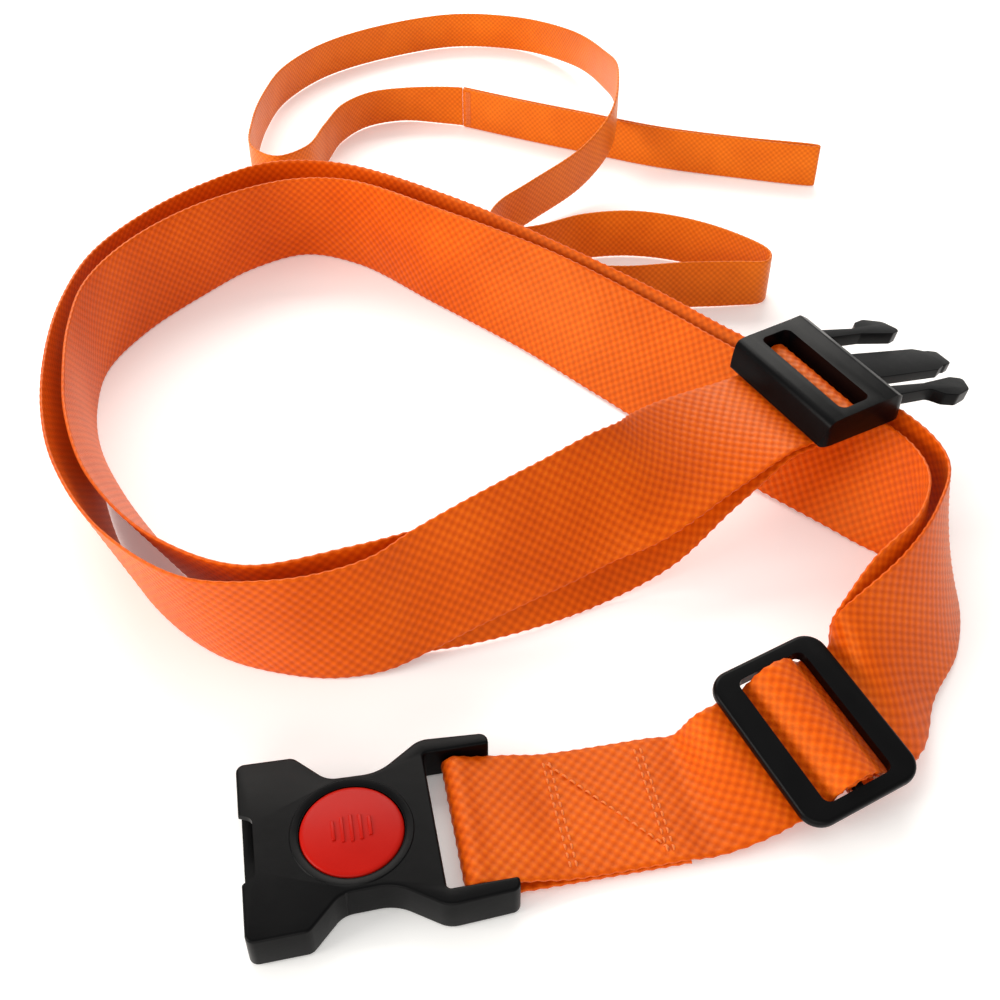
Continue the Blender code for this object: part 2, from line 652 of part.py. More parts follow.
def main():
    clear_scene()
    parts = new_collection(OBJECT_NAME)
    cutters = new_collection("cutters", cutters=True)
    black = new_material("black_plastic", (0.004, 0.004, 0.005), 0.38)
    red = new_material("red_plastic", (0.57, 0.018, 0.008), 0.35)
    orange = new_material("orange_webbing", (0.72, 0.14, 0.015), 0.75)
    light_orange = new_material("orange_tether", (0.63, 0.12, 0.014), 0.75)
    stitching = new_material("orange_thread", (0.70, 0.13, 0.016), 0.6)
    male = pose_matrix(MALE_POSE)
    glide = pose_matrix(GLIDE_POSE)
    socket_housing(parts, cutters, black)
    release_button(parts, cutters, red)
    male_frame(parts, cutters, male, black)
    prong("prong_left", 1, parts, male, black)
    prong("prong_right", -1, parts, male, black)
    tri_glide(parts, cutters, glide, black)
    strap_nodes(parts, orange, glide, male)
    socket_stitches(parts, stitching)
    glide_stitch(parts, stitching, glide)
    tether_nodes(parts, light_orange, stitching)


main()
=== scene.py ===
import math

import bmesh
import bpy
import numpy as np
from mathutils import Matrix, Vector


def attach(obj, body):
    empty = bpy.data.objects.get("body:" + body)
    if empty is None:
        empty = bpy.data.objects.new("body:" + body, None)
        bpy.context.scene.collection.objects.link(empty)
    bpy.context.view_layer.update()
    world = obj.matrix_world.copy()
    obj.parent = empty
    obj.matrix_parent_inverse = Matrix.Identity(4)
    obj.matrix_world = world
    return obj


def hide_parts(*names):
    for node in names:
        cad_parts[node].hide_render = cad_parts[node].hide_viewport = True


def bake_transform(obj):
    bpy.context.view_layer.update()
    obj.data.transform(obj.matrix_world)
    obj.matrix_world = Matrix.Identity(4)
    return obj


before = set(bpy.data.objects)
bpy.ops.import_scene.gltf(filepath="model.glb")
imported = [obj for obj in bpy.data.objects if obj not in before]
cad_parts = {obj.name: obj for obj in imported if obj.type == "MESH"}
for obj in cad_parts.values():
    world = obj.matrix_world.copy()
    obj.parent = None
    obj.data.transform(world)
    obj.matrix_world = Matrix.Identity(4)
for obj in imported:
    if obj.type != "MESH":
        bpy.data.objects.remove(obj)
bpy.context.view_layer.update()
MM = 0.001

# ------------------------------------------------------------------ dimensions, in millimetres

WIDTH, THICK = 50.0, 1.6
TETHER_WIDTH, TETHER_THICK = 25.0, 1.4
WEAVE_PITCH, WEAVE_ROW, WEAVE_RELIEF, WEAVE_BEAD = 4.4, 2.2, 0.24, 0.38
TETHER_PITCH, TETHER_ROW, TETHER_RELIEF, TETHER_BEAD = 3.2, 1.6, 0.08, 0.10
ROWS_PER_PITCH = 4
LAYER_GAP = 2.7
PIECE_GAP = 0.3

BAR = (37.5, 6.8)
BAR_RADIUS = 3.0
BAR_LOOP = BAR_RADIUS + PIECE_GAP + THICK / 2 + 0.2
SOCKET_HEIGHT, SOCKET_WALL = 14.0, 2.2
BUTTON_RADIUS, BUTTON_TOP = 17.0, 14.4
MALE_HALF_WIDTH = 31.0
MALE_BAR_OFFSET, MALE_BAR_RADIUS = 1.2, 2.1
PRONG_HALF_HEIGHT = 2.8
GLIDE_HALF_THICKNESS = 2.3
SMOOTH_ANGLE = 32.0
TURNED_STEPS = 96

OBJECT_CENTRE = (0.06, 0.25, 0.0)  # metres
CAMERA_PLACE = (0.0011, -0.2457, 0.375)  # metres
CAMERA_TILT, CAMERA_HEADING = 48.0, -11.0
LENS, SENSOR = 46.8, 36.0

# Each station is (x, y, foot height, lean in degrees) of the webbing's lower selvage.

OUTER_ROUTE = (
    (212, 19, 2.5, 52), (235, 45, 0, 34), (248, 73, 0, 20), (250, 101, 0, 6), (231, 121, 0, -18),
    (205, 151, 0, -37), (175, 189, 0, -38), (147, 233, 0, -38), (116, 279, 0, -28), (80, 331, 0, -17),
    (35, 381, 0, -5), (2, 392, 0, 0), (-34, 377, 0, 2), (-65, 352, 0, 3), (-87, 319, 0, 1),
    (-96.5, 283, 0, -1.5), (-96.5, 246, 0, -7.5), (-88.5, 204.5, 0, -17), (-80.5, 168, 0, -18),
    (-65, 128, 0, -15), (-41, 97, 0, -10), (-16, 82.5, 0, 0), (3, 77, 0, 8), (21, 76, 1.5, 14),
    (37.5, 79.2, 5, 19), (57.5, 83.8, 10, 22), (78, 89, 13.5, 26), (97.8, 94.5, 16, 31),
    (114, 98.5, 19.5, 38), (130, 99.7, 24, 50), (146.3, 104.5, 29, 62), (164.1, 112.6, 33.5, 73),
)
INNER_ROUTE = (
    (226, 49, 0, 34), (237, 72, 0, 17), (233, 93, 0, -2), (218, 112, 0, -26),
    (196, 142, 0, -37), (168, 181, 0, -40), (141, 225, 0, -39), (112, 271, 0, -27), (76, 320, 0, -12),
    (42, 365, 0, 1), (15, 380, 0, 9), (-14, 371, 0, 6), (-43, 348, 0, -2), (-70, 321, 0, -3),
    (-88, 292, 0, -1), (-92.5, 261, 0, -2), (-90, 232, 0, -6), (-80, 200, 0, -16), (-65, 167, 0, -24),
    (-43, 128, 0, -22), (-19, 101, 0, -12), (12, 87.5, 0, 9), (44, 83.5, 0, 25), (78, 87, 0, 34),
    (112, 96, 0, 45), (141, 104.5, 6.5, 56), (167.5, 115.5, 22, 70),
)
TETHER_ROUTE = (
    (125.4, 516.3, 0, 0), (116, 520.5, 0, 3), (89, 530, 0, 14), (66, 526, 0, 12), (48, 509, 0, 6),
    (36, 483, 0, 2),
    (24, 457, 0, 0), (6, 448, 0, 0), (-7, 463, 0, 0), (-5, 497, 0, 0), (3, 536, 0, -4),
    (17, 571, 0, -6), (48, 606, 0, -8), (96, 629, 0, -8), (142, 637, 0, -10), (185, 622, 0, -10),
    (212, 580, 5, -8), (218, 524, 14, -4), (209.5, 463, 27, 0), (196, 426, 20, 0), (176, 409, 9, 0),
    (141, 386, 3, 0), (121, 373, 0, 0), (113, 357, 0, 0), (119, 345, 0, 0), (136, 344, 0, 0),
    (162, 347, 0, 10), (187, 345, 0, 12), (211, 335, 0, 8), (233, 317, 0, 4), (247, 297, 0, 0),
    (243, 288, 0, 0), (227, 288, 0, -5), (201, 291, 0, -8), (167, 294, 0, -8), (133, 302, 2, -14),
    (106, 322, 9, -22), (87, 346, 11, -16),
)
HAND_LOOP_ROUTE = (
    (126, 516, 0, 0), (155, 494, 0, 0), (190, 469, 0, 0), (230, 441, 0, 0), (273, 419, 0, 0),
    (314, 401, 0, 0),
)

# Side-view profiles (along, height) of the webbing: on the floor, in the adjuster and in the male half.
UNDER_PLY = ((108, 1.75), (84, 1.75), (66, 1.75), (57.5, 1.8))
TOP_PLY = ((57.5, 6.5), (66, 4.4), (76, 3.7), (92, 3.6), (108, 3.6), (116, 2.9))
GLIDE_THROUGH = (
    (-30, -4.9), (-23, -4.6), (-17, -4.6), (-13.5, -4.2), (-9.8, -1.4), (-6.5, 2.9), (-2.5, 5.4),
    (0, 5.8), (3, 5.5), (7.4, 3.2), (10.0, -1.2), (14.2, -4.3), (19, -4.7), (27, -4.9),
)
GLIDE_FIXED_END = (
    (27, -7.3), (19, -7.2), (14.5, -6.9), (10.0, -4.1), (6.8, -0.2), (4.2, 2.7), (1.5, 3.5),
    (-1.5, 3.2), (-3.3, 1.4), (-3.5, -0.9), (-2.2, -3.2), (1.0, -5.4), (5.0, -7.6), (11, -9.0),
    (17, -9.4), (25, -9.6),
)
MALE_WRAP = (
    (-28, -6.2), (-22, -6.1), (-13, -6.2), (-8.6, -6.2), (-5.5, -4.2), (-4.5, -1.2), (-4.2, 1.1),
    (-3.0, 2.8), (-1.3, 3.2), (1.3, 3.2), (3.0, 2.8), (4.3, 1.1), (4.5, -0.9), (3.9, -3.8),
    (1.8, -6.8), (-2.4, -8.5), (-10, -9.0), (-22, -9.2), (-28, -9.8),
)


def pose_matrix(place, heading, pitch, roll):
    """A place in metres and a turn in degrees."""
    turn = (
        Matrix.Rotation(math.radians(heading), 4, "Z")
        @ Matrix.Rotation(math.radians(-pitch), 4, "Y")
        @ Matrix.Rotation(math.radians(roll), 4, "X")
    )
    return Matrix.Translation(place) @ turn


MALE = pose_matrix((0.2103, 0.1538, 0.0508), 17.9, 0.4, 1.3)
DROOP = Matrix.Rotation(math.radians(15.0), 4, "Y")
GLIDE = pose_matrix((0.1605, 0.0095, 0.0165), 17.0, 4.0, 9.0)

# ------------------------------------------------------------------ paths of the webbing


def route_stations(route, width):
    """The middle of the band and its across direction at each station of a route."""
    feet = np.array([row[:3] for row in route], float)
    rows = []
    for i, (foot, row) in enumerate(zip(feet, route)):
        ahead = feet[min(i + 1, len(feet) - 1)] - feet[max(i - 1, 0)]
        left = np.array([-ahead[1], ahead[0], 0.0]) / math.hypot(ahead[0], ahead[1])
        lean = math.radians(row[3])
        across = left * math.sin(lean) + np.array([0, 0, math.cos(lean)])
        lift = np.array([0, 0, THICK / 2 * abs(math.sin(lean))])
        rows.append(np.concatenate([foot + lift + across * width / 2, across]))
    return rows


def profile_stations(profile, matrix):
    """The same for a side-view profile placed by a matrix."""
    m = np.array(matrix)
    turn, place = m[:3, :3], m[:3, 3] * 1000
    across = turn @ np.array([0, 1.0, 0])
    return [np.concatenate([place + turn @ np.array([a, 0, c]), across]) for a, c in profile]


def bar_turn():
    """The webbing's turn round the socket's bar, from underneath to the top."""
    angles = [math.radians(degrees) for degrees in range(270, 44, -25)]
    return [(BAR[0] + BAR_LOOP * math.cos(a), BAR[1] + BAR_LOOP * math.sin(a)) for a in angles]


def smooth_path(stations, step):
    """Position, across and ahead vectors every `step` along a centripetal curve through the stations.

    It also returns the run length of each row and of each station.
    """
    values = np.array(stations)
    values = np.vstack([2 * values[0] - values[1], values, 2 * values[-1] - values[-2]])
    steps = np.linalg.norm(np.diff(values[:, :3], axis=0), axis=1)
    knots = np.concatenate([[0.0], np.cumsum(np.sqrt(steps))])
    rows, owners = [], []
    for i in range(1, len(values) - 2):
        count = max(3, math.ceil(steps[i] / 0.5))
        t = np.linspace(knots[i], knots[i + 1], count, endpoint=False)[:, None]
        p, k = values[i - 1:i + 3], knots[i - 1:i + 3]

        def between(first, second, low, high):
            return (k[high] - t) / (k[high] - k[low]) * first + (t - k[low]) / (k[high] - k[low]) * second

        a = [between(p[j], p[j + 1], j, j + 1) for j in range(3)]
        b = [between(a[j], a[j + 1], j, j + 2) for j in range(2)]
        rows.append(between(b[0], b[1], 1, 2))
        owners.append(count)
    rows.append(values[-2:-1])
    fine = np.vstack(rows)
    run = np.concatenate([[0.0], np.cumsum(np.linalg.norm(np.diff(fine[:, :3], axis=0), axis=1))])
    at_station = run[np.concatenate([[0], np.cumsum(owners)])]
    even = np.arange(0, run[-1], step)
    path = np.column_stack([np.interp(even, run, fine[:, j]) for j in range(6)])
    window = np.hanning(9)[1:-1]  # a short moving average that takes out the last kinks
    window /= window.sum()
    for j in range(6):
        padded = np.pad(path[:, j], 3, mode="reflect", reflect_type="odd")
        path[:, j] = np.convolve(padded, window, mode="valid")
    path[:, 3:] /= np.linalg.norm(path[:, 3:], axis=1)[:, None]
    path = np.hstack([path, np.gradient(path[:, :3], axis=0)])
    return path, even, at_station


# ------------------------------------------------------------------ woven ribbon mesh


def solid(name, mesh):
    """An object in the scene that holds this mesh."""
    obj = bpy.data.objects.new(name, mesh)
    bpy.context.scene.collection.objects.link(obj)
    return obj


def wobble(x, seed, scale):
    """A smooth, repeatable wander between -1 and 1."""
    slow = np.sin(x / scale + seed)
    middle = 0.6 * np.sin(x / scale * 2.17 + seed * 1.7)
    return (slow + middle + 0.4 * np.sin(x / scale * 4.6 + seed)) / 2.0


def woven(name, path, run, width, thick, pitch, row, relief, bead, material):
    """A closed band with its weave in relief on both faces, beaded selvages and a little waviness."""
    place, across, ahead = path[:, :3], path[:, 3:6], path[:, 6:]
    normal = np.cross(ahead, across)
    normal /= np.linalg.norm(normal, axis=1)[:, None]
    half = width / 2
    columns = int(round((width - row) / (row / 2))) + 1
    columns -= 1 - columns % 2
    t = (np.arange(columns) - columns // 2) * row / 2
    s = run[:, None]
    weave = np.cos(2 * np.pi * s / pitch) * np.cos(np.pi * t[None, :] / row)
    fade = np.clip((half - 0.6 - np.abs(t)) / row, 0, 1)[None, :]
    yarns = 0.75 + 0.25 * np.sin(t * 7.3)[None, :] * np.sin(s * 0.9 + t[None, :])
    crown = relief * np.sign(weave) * np.abs(weave) ** 0.7 * fade * yarns
    front = thick / 2 - relief + crown
    back = thick / 2 - relief - crown
    beads = bead * np.cos(2 * np.pi * run / pitch)
    lip = thick * 0.40 + 0.05 * np.cos(2 * np.pi * run / pitch)
    shift = 0.06 * wobble(run, 1.3, 23.0)

    def line(t_now, h_now):
        lateral = (np.zeros(len(run)) + t_now)[:, None] * across
        return (place + lateral + (np.zeros(len(run)) + h_now)[:, None] * normal) * MM

    def selvage(side):
        """Five lines round one edge, from the front to the back."""
        return [
            line(side * (half - 0.35), lip), line(side * (half + beads * 0.5), lip * 0.6),
            line(side * (half + beads), 0.0), line(side * (half + beads * 0.5), -lip * 0.6),
            line(side * (half - 0.35), -lip),
        ]

    rings = [line(t[j] + shift, front[:, j]) for j in range(columns)]
    rings += selvage(1)
    rings += [line(t[j] + shift, -back[:, j]) for j in range(columns - 1, -1, -1)]
    rings += selvage(-1)[::-1]
    points = np.stack(rings, axis=1)
    n, m = points.shape[:2]
    index = np.arange(n * m).reshape(n, m)
    first, second = index[:-1], index[1:]
    corners = [first, np.roll(first, -1, axis=1), np.roll(second, -1, axis=1), second]
    faces = np.stack(corners, axis=-1).reshape(-1, 4)[:, ::-1]
    mesh = bpy.data.meshes.new(name)
    mesh.vertices.add(n * m)
    mesh.vertices.foreach_set("co", points.astype(np.float32).ravel())
    mesh.loops.add(faces.size)
    mesh.loops.foreach_set("vertex_index", faces.astype(np.int32).ravel())
    mesh.polygons.add(len(faces))
    mesh.polygons.foreach_set("loop_start", np.arange(0, faces.size, 4, dtype=np.int32))
    mesh.update(calc_edges=True)
    side_t = np.concatenate([t, [half] * 5, t[::-1], [-half] * 5])
    u = np.repeat(run / pitch, m).reshape(n, m)
    v = np.tile(side_t / (2 * row), (n, 1))
    flat_uv = np.stack([u.ravel(), v.ravel()], axis=-1)[faces.ravel()]
    mesh.uv_layers.new(name="weave").data.foreach_set("uv", flat_uv.astype(np.float32).ravel())
    mesh.polygons.foreach_set("use_smooth", np.ones(len(faces), bool))
    mesh.materials.append(material)
    obj = solid(name, mesh)
    close_ends(mesh, n, m, columns)
    mesh.set_sharp_from_angle(angle=math.radians(65))
    return obj


def close_ends(mesh, rows, around, columns):
    """Faces across the band's two cut ends."""
    work = bmesh.new()
    work.from_mesh(mesh)
    work.verts.ensure_lookup_table()
    for base in (0, (rows - 1) * around):
        ring = [work.verts[base + k] for k in range(around)]
        for k in range(columns - 1):
            a, b = ring[k], ring[k + 1]
            c, d = ring[2 * columns + 3 - k], ring[2 * columns + 4 - k]
            work.faces.new((a, b, c, d) if base == 0 else (d, c, b, a))
    work.to_mesh(mesh)
    work.free()


# ------------------------------------------------------------------ materials


GOLD = (1.0, 0.64, 0.16, 1.0)


class Nodes:
    """Short calls for a material's node tree."""

    def __init__(self, name):
        self.material = bpy.data.materials.new(name)
        self.material.use_nodes = True
        self.tree = self.material.node_tree
        self.shader = self.tree.nodes["Principled BSDF"]

    def put(self, kind, links=(), **values):
        node = self.tree.nodes.new(kind)
        for key, value in values.items():
            if key in node.inputs:
                node.inputs[key].default_value = value
            else:
                setattr(node, key, value)
        for key, source in dict(links).items():
            self.tree.links.new(source, node.inputs[key])
        return node

    def math(self, operation, a, b=None):
        node = self.tree.nodes.new("ShaderNodeMath")
        node.operation = operation
        for k, value in enumerate((a, b)):
            if value is None:
                continue
            if isinstance(value, (int, float)):
                node.inputs[k].default_value = value
            else:
                self.tree.links.new(value, node.inputs[k])
        return node.outputs[0]

    def ramp(self, factor, stops):
        node = self.tree.nodes.new("ShaderNodeValToRGB")
        ramp = node.color_ramp
        while len(ramp.elements) < len(stops):
            ramp.elements.new(0.5)
        for element, (position, colour) in zip(ramp.elements, stops):
            element.position = position
            element.color = (*colour, 1.0)
        self.tree.links.new(factor, node.inputs[0])
        return node.outputs[0]

    def link(self, source, target):
        self.tree.links.new(source, self.shader.inputs[target])

    def set(self, target, value):
        self.shader.inputs[target].default_value = value


def webbing_material(name, deep, mid, light, rough, sheen):
    """Dyed yarn, with painted shade that makes it darker in the weave's hollows; fine fibres along it, golden
    where light grazes it.
    """
    m = Nodes(name)
    uv = m.put("ShaderNodeUVMap", uv_map="weave").outputs[0]
    split = m.put("ShaderNodeSeparateXYZ", {0: uv}).outputs
    along, across = split[0], split[1]
    warp = m.math("COSINE", m.math("MULTIPLY", along, 2 * math.pi))
    weft = m.math("COSINE", m.math("MULTIPLY", across, 2 * math.pi))
    weave = m.math("MULTIPLY", warp, weft)
    lobes = m.math("MULTIPLY", m.math("ADD", weave, 1.0), 0.5)
    wide = m.put("ShaderNodeCombineXYZ", {0: along, 1: m.math("MULTIPLY", across, 22.0)})
    fibre = m.put("ShaderNodeTexNoise", {"Vector": wide.outputs[0]}, Scale=6.0, Detail=3.0).outputs[0]
    cloud = m.put("ShaderNodeTexNoise", {"Vector": uv}, Scale=0.13, Detail=2.0).outputs[0]
    # painted shade: the lobes term darkens the weave's hollows in the base colour; the fibre and cloud terms
    # are the yarn's own tone
    tone = m.math("ADD", m.math("MULTIPLY", lobes, 0.34), m.math("MULTIPLY", fibre, 0.58))
    tone = m.math("ADD", tone, m.math("MULTIPLY", m.math("SUBTRACT", cloud, 0.5), 0.35))
    m.link(m.ramp(tone, ((0.12, deep), (0.55, mid), (0.98, light))), "Base Color")
    height = m.math("ADD", m.math("MULTIPLY", lobes, 0.9), m.math("MULTIPLY", fibre, 0.35))
    bump = m.put("ShaderNodeBump", {"Height": height}, Strength=0.55, Distance=0.00022)
    m.link(bump.outputs[0], "Normal")
    m.link(m.math("ADD", m.math("MULTIPLY", fibre, 0.25), rough), "Roughness")
    m.set("Specular IOR Level", 0.50)
    m.set("Specular Tint", GOLD)
    m.set("Sheen Weight", sheen)
    m.set("Sheen Roughness", 0.35)
    m.set("Sheen Tint", GOLD)
    m.set("Emission Color", (0.75, 0.045, 0.0, 1.0))  # stands in for light passing through the cloth
    m.set("Emission Strength", 0.07)
    return m.material


def thread_material(name, colour):
    """Twisted thread."""
    m = Nodes(name)
    where = m.put("ShaderNodeTexCoord").outputs["Object"]
    wave = m.put("ShaderNodeTexWave", {"Vector": where}, Scale=900.0, Distortion=1.0, Detail=1.0)
    twist = wave.outputs[1]
    m.link(m.ramp(twist, ((0.0, tuple(c * 0.7 for c in colour)), (1.0, colour))), "Base Color")
    bump = m.put("ShaderNodeBump", {"Height": twist}, Strength=0.5, Distance=0.0001)
    m.link(bump.outputs[0], "Normal")
    m.set("Roughness", 0.5)
    m.set("Sheen Weight", 0.2)
    return m.material


def plastic_material(name, dark, light, rough, grain, scuff, gloss):
    """Moulded plastic: a fine grain, a slow ripple, and edges worn a little lighter."""
    m = Nodes(name)
    where = m.put("ShaderNodeTexCoord").outputs["Object"]
    fine = m.put("ShaderNodeTexNoise", {"Vector": where}, Scale=2600.0, Detail=4.0).outputs[0]
    cloud = m.put("ShaderNodeTexNoise", {"Vector": where}, Scale=60.0, Detail=5.0).outputs[0]
    worn = m.put("ShaderNodeNewGeometry").outputs["Pointiness"]
    edge = m.math("MULTIPLY", m.math("SUBTRACT", worn, 0.53), 6.0)
    edge = m.math("MULTIPLY", m.math("MINIMUM", m.math("MAXIMUM", edge, 0.0), 1.0), scuff)
    mottle = m.math("ADD", m.math("MULTIPLY", cloud, 0.45), m.math("MULTIPLY", fine, 0.25))
    tone = m.math("ADD", mottle, edge)
    m.link(m.ramp(tone, ((0.2, dark), (0.95, light))), "Base Color")
    m.link(m.math("ADD", m.math("MULTIPLY", cloud, 0.18), rough), "Roughness")
    bump = m.put("ShaderNodeBump", {"Height": fine}, Strength=grain, Distance=0.00006)
    wave = m.put("ShaderNodeTexNoise", {"Vector": where}, Scale=140.0, Detail=2.0).outputs[0]
    links = {"Height": wave, "Normal": bump.outputs[0]}
    m.link(m.put("ShaderNodeBump", links, Strength=0.12, Distance=0.0004).outputs[0], "Normal")
    m.set("Specular IOR Level", gloss)
    return m.material


webbing = webbing_material(
    "woven_orange", (0.34, 0.022, 0.0), (0.62, 0.080, 0.0010), (0.86, 0.205, 0.006), 0.28, 0.08
)
tether_cloth = webbing_material(
    "woven_tether", (0.38, 0.042, 0.001), (0.62, 0.125, 0.004), (0.80, 0.24, 0.016), 0.30, 0.10
)
sewing = thread_material("orange_thread", (0.86, 0.19, 0.012))
black = plastic_material(
    "moulded_black", (0.0008, 0.0008, 0.0010), (0.0036, 0.0036, 0.0040), 0.24, 0.30, 0.25, 0.08
)
red = plastic_material("moulded_red", (0.36, 0.004, 0.001), (0.52, 0.009, 0.002), 0.26, 0.18, 0.10, 0.10)

# ------------------------------------------------------------------ the strap

pieces = {}
flat = Matrix.Identity(4)
outer = route_stations(OUTER_ROUTE, WIDTH)
inner = route_stations(INNER_ROUTE, WIDTH)[::-1]
outward = np.cross(outer[1][:3] - outer[0][:3], outer[0][3:])
outward /= np.linalg.norm(outward)
inner.append(np.concatenate([outer[0][:3] - outward * LAYER_GAP, outer[0][3:]]))
sections = [
    profile_stations(UNDER_PLY, flat) + profile_stations(bar_turn(), flat) + profile_stations(TOP_PLY, flat),
    profile_stations(GLIDE_THROUGH, GLIDE), outer, profile_stations(MALE_WRAP, MALE), inner,
    profile_stations(GLIDE_FIXED_END, GLIDE),
]
starts = np.cumsum([0] + [len(x) for x in sections])
stations = [row for part in sections for row in part]
path, run, at = smooth_path(stations, WEAVE_PITCH / ROWS_PER_PITCH)


def cut(station):
    """The row nearest a station, on a whole weave period."""
    return int(round(at[station] / WEAVE_PITCH)) * ROWS_PER_PITCH


cuts = {
    "strap_socket_end": (0, cut(starts[1] - 1), ("webbing_under_ply", "webbing_socket_loop")),
    "strap_adjuster_run": (cut(starts[1] - 1), cut(starts[2] + 3), ("webbing_single_run",)),
    "strap_outer_coil": (cut(starts[2] + 3), cut(starts[3] - 2), ("webbing_outer_layer",)),
    "strap_buckle_wrap": (cut(starts[3] - 2), cut(starts[4] + 1), ("webbing_buckle_wrap",)),
    "strap_inner_coil": (cut(starts[4] + 1), cut(starts[5] - 3), ("webbing_inner_layer",)),
    "strap_fixed_end": (cut(starts[5] - 3), len(run) - 1, ("webbing_glide_end",)),
}
for name, (a, b, stands_for) in cuts.items():
    piece = woven(
        name, path[a:b + 1], run[a:b + 1], WIDTH, THICK, WEAVE_PITCH, WEAVE_ROW, WEAVE_RELIEF, WEAVE_BEAD,
        webbing,
    )
    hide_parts(*stands_for)
    pieces[name] = (piece, (run[b] - run[a]) * MM)

# ------------------------------------------------------------------ the tether and its hand loop



def narrow(name, stations):
    """A piece of the tether's webbing along these stations, and its length."""
    rows, length, _ = smooth_path(stations, TETHER_PITCH / ROWS_PER_PITCH)
    piece = woven(
        name, rows, length, TETHER_WIDTH, TETHER_THICK, TETHER_PITCH, TETHER_ROW, TETHER_RELIEF, TETHER_BEAD,
        tether_cloth,
    )
    return piece, length[-1] * MM


tail = route_stations(TETHER_ROUTE, TETHER_WIDTH)
tether, tether_length = narrow("tether_run", tail)
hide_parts("tether_webbing")
spine = route_stations(HAND_LOOP_ROUTE, TETHER_WIDTH)
sides = {1: [], -1: []}
for i, station in enumerate(spine):
    ahead = spine[min(i + 1, len(spine) - 1)][:3] - spine[max(i - 1, 0)][:3]
    face = np.cross(ahead, station[3:])
    face /= np.linalg.norm(face)
    for side in sides:
        ply = station[:3] + face * side * (TETHER_THICK / 2 + PIECE_GAP)
        sides[side].append(np.concatenate([ply, station[3:]]))
ahead = spine[-1][:3] - spine[-2][:3]
fold = np.concatenate([spine[-1][:3] + ahead / np.linalg.norm(ahead) * 1.6, spine[-1][3:]])
hand_loop, loop_length = narrow("tether_hand_loop_cloth", sides[-1] + [fold] + sides[1][::-1])
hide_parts("tether_hand_loop")

# ------------------------------------------------------------------ sewing


def stitches(name, seams, radius, material):
    """Thread lying in short arcs. Each seam is (start, end, direction away from the cloth)."""
    points, faces = [], []
    rings, around = 7, 6
    for start, end, up in seams:
        ahead = (end - start) / np.linalg.norm(end - start)
        side = np.cross(ahead, up)
        base = len(points)
        for k in range(rings):
            f = k / (rings - 1)
            rise = math.sin(math.pi * f) ** 0.5 * radius * 1.6 - radius * 1.1
            middle = start + (end - start) * f + up * rise
            size = radius * (0.55 + 0.45 * math.sin(math.pi * min(max(f, 0.08), 0.92)))
            for j in range(around):
                a = 2 * math.pi * j / around
                points.append((middle + size * (math.cos(a) * side + math.sin(a) * up)) * MM)
        for k in range(rings - 1):
            for j in range(around):
                a, b = base + k * around + j, base + k * around + (j + 1) % around
                faces.append((a, b, b + around, a + around))
        faces.append(tuple(base + j for j in reversed(range(around))))
        faces.append(tuple(base + (rings - 1) * around + j for j in range(around)))
    mesh = bpy.data.meshes.new(name)
    mesh.from_pydata([tuple(p) for p in points], [], faces)
    mesh.polygons.foreach_set("use_smooth", np.ones(len(faces), bool))
    mesh.materials.append(material)
    mesh.update()
    return solid(name, mesh)


def run_stitches(corners, up, pitch=3.2, length=2.2, swing=0.0):
    """Stitches along straight lines between corners."""
    seams = []
    for a, b in zip(corners[:-1], corners[1:]):
        a, b = np.array(a, float), np.array(b, float)
        count = max(1, int(np.linalg.norm(b - a) / pitch))
        ahead = (b - a) / np.linalg.norm(b - a)
        side = np.cross(ahead, up)
        for k in range(count):
            centre = a + (b - a) * (k + 0.5) / count
            reach = ahead * length / 2 + side * swing * (1 if k % 2 else -1)
            seams.append((centre - reach, centre + reach, np.array(up, float)))
    return seams


def top_height(x):
    """The height of the sewn top ply at this distance from the button."""
    a, b = cut(starts[1] - 6), cut(starts[1])
    rows = path[a:b]
    return float(np.interp(x, rows[:, 0], rows[:, 2])) + THICK / 2


near, middle, far, reach, lift = 68.0, 86.0, 103.0, 21.5, 0.05
seams = []
for shift in (0.0, 2.2):
    for x in (near + shift, far - shift):
        ends = [(x, y, top_height(x) + lift) for y in (-reach, reach)]
        seams += run_stitches(ends, (0, 0, 1))
diagonal = [
    (near + 1, reach - 1, top_height(near) + lift), (middle, 0, top_height(middle) + lift),
    (far - 1, 1 - reach, top_height(far) + lift),
]
seams += run_stitches(diagonal, (0, 0, 1))
box_top = stitches("box_stitch_top", seams, 0.42, sewing)
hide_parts("socket_stitch_top")
under = [(x, y, 0.85) for x, y in ((near, -reach), (near, reach), (far, -reach), (far, reach))]
box_under = stitches("box_stitch_under", run_stitches(under, (0, 0, -1)), 0.38, sewing)
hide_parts("socket_stitch_under")

glide_turn = np.array(GLIDE)[:3, :3]
glide_place = np.array(GLIDE)[:3, 3] * 1000
line = [glide_place + glide_turn @ np.array([17.0, y, -10.3]) for y in (-20.0, 20.0)]
glide_seam = stitches("fixed_end_stitch", run_stitches(line, -glide_turn[:, 2], 2.5, 2.2, 0.8), 0.38, sewing)
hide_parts("glide_end_stitch")


def bar_tack(name, station, towards, inset, offset, stands_for):
    """A dense zigzag over three straight rows, across the band near a station."""
    ahead = (towards[:3] - station[:3]) / np.linalg.norm(towards[:3] - station[:3])
    face = np.cross(ahead, station[3:])
    face /= np.linalg.norm(face)
    up = face * np.sign(offset)
    centre = station[:3] + ahead * inset + face * offset
    seams = []
    for k in range(26):
        t = -10.6 + 21.2 * k / 25
        half = ahead * 2.0
        across = station[3:] * t
        lean = station[3:] * 0.25
        seams.append((centre + across - half - lean, centre + across + half + lean, up))
    for side in (-1.1, 0.0, 1.1):
        a = centre + station[3:] * -10 + ahead * side
        b = centre + station[3:] * 10 + ahead * side
        seams += run_stitches([a, b], up, 2.6, 2.2)
    tack = stitches(name, seams, 0.27, sewing)
    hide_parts(stands_for)
    return tack


